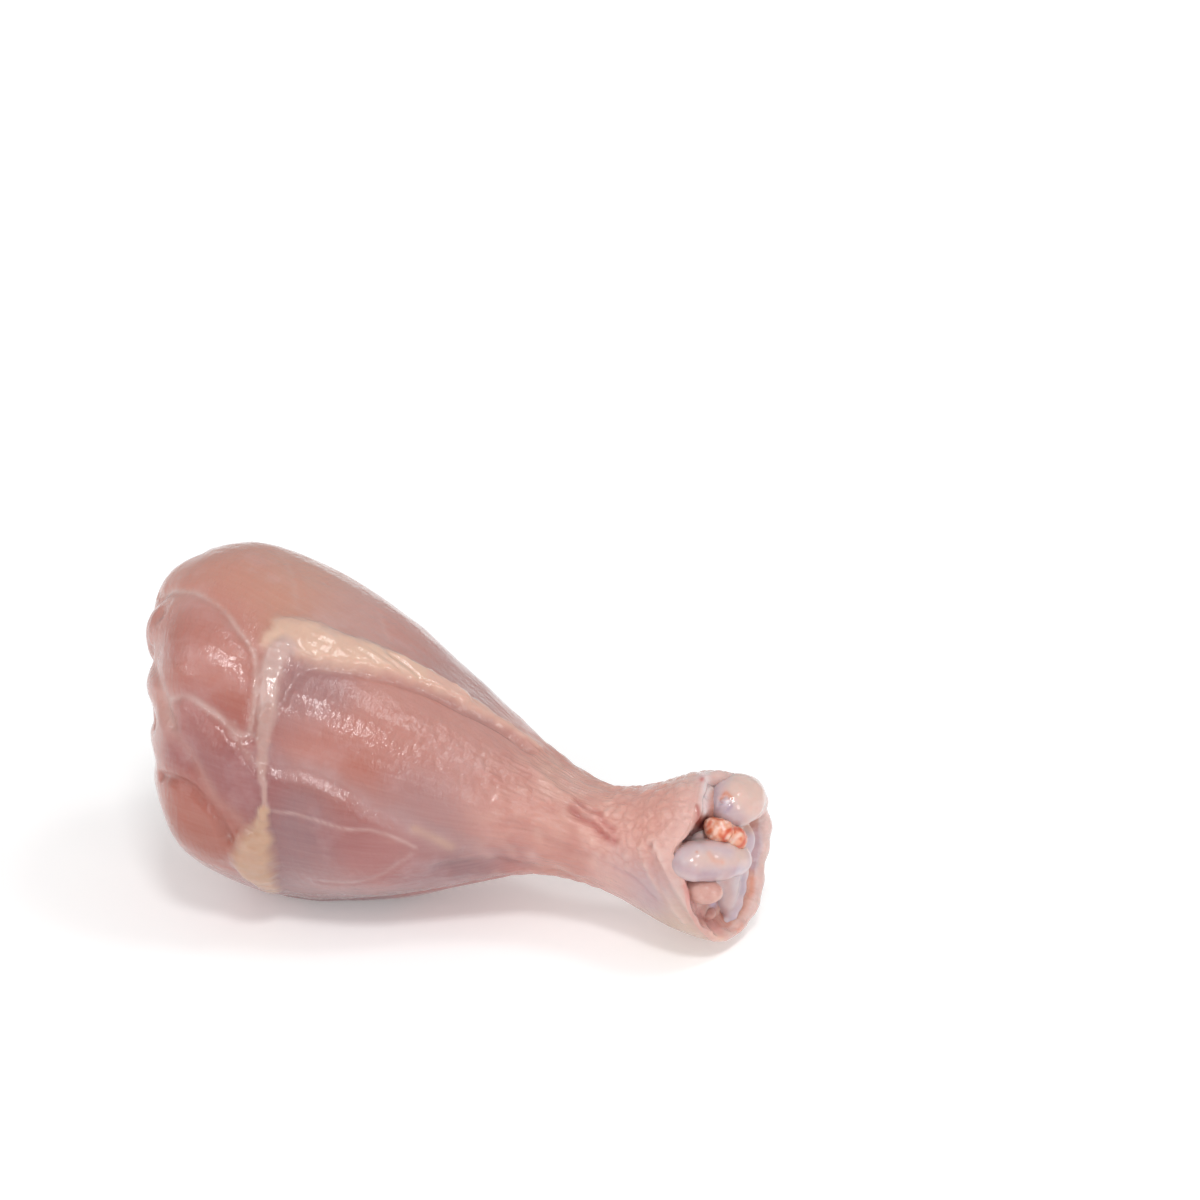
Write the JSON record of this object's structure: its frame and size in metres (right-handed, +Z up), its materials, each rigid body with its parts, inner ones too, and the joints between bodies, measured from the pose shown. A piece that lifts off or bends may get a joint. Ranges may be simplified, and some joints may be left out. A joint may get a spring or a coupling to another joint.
{
  "type": "raw chicken drumstick",
  "caption": "Raw skinless chicken drumstick lying on its side, with fat seams, a cartilage knee end and a cut ankle joint that shows its knuckles and tendons.",
  "frame": {"origin": "middle of the bounding box's bottom face, on the surface that the drumstick lies on", "axes": "+X from the knee to the ankle, along the leg; +Z up; -Y is the side with the fat seams"},
  "size_m": [0.1008, 0.0562, 0.0559],
  "materials": {
    "meat": "moist raw meat under a clear membrane, salmon to mauve, soft wet gloss",
    "bone": "wet bluish-white cartilage",
    "marrow": "wet orange-red soft tissue",
    "tendon": "wet pink cut tendon"
  },
  "bodies": {
    "root": {"flesh": "meat", "bone": "bone", "marrow": "marrow", "tendon_front": "tendon", "tendon_back": "tendon"}
  },
  "joints": []
}
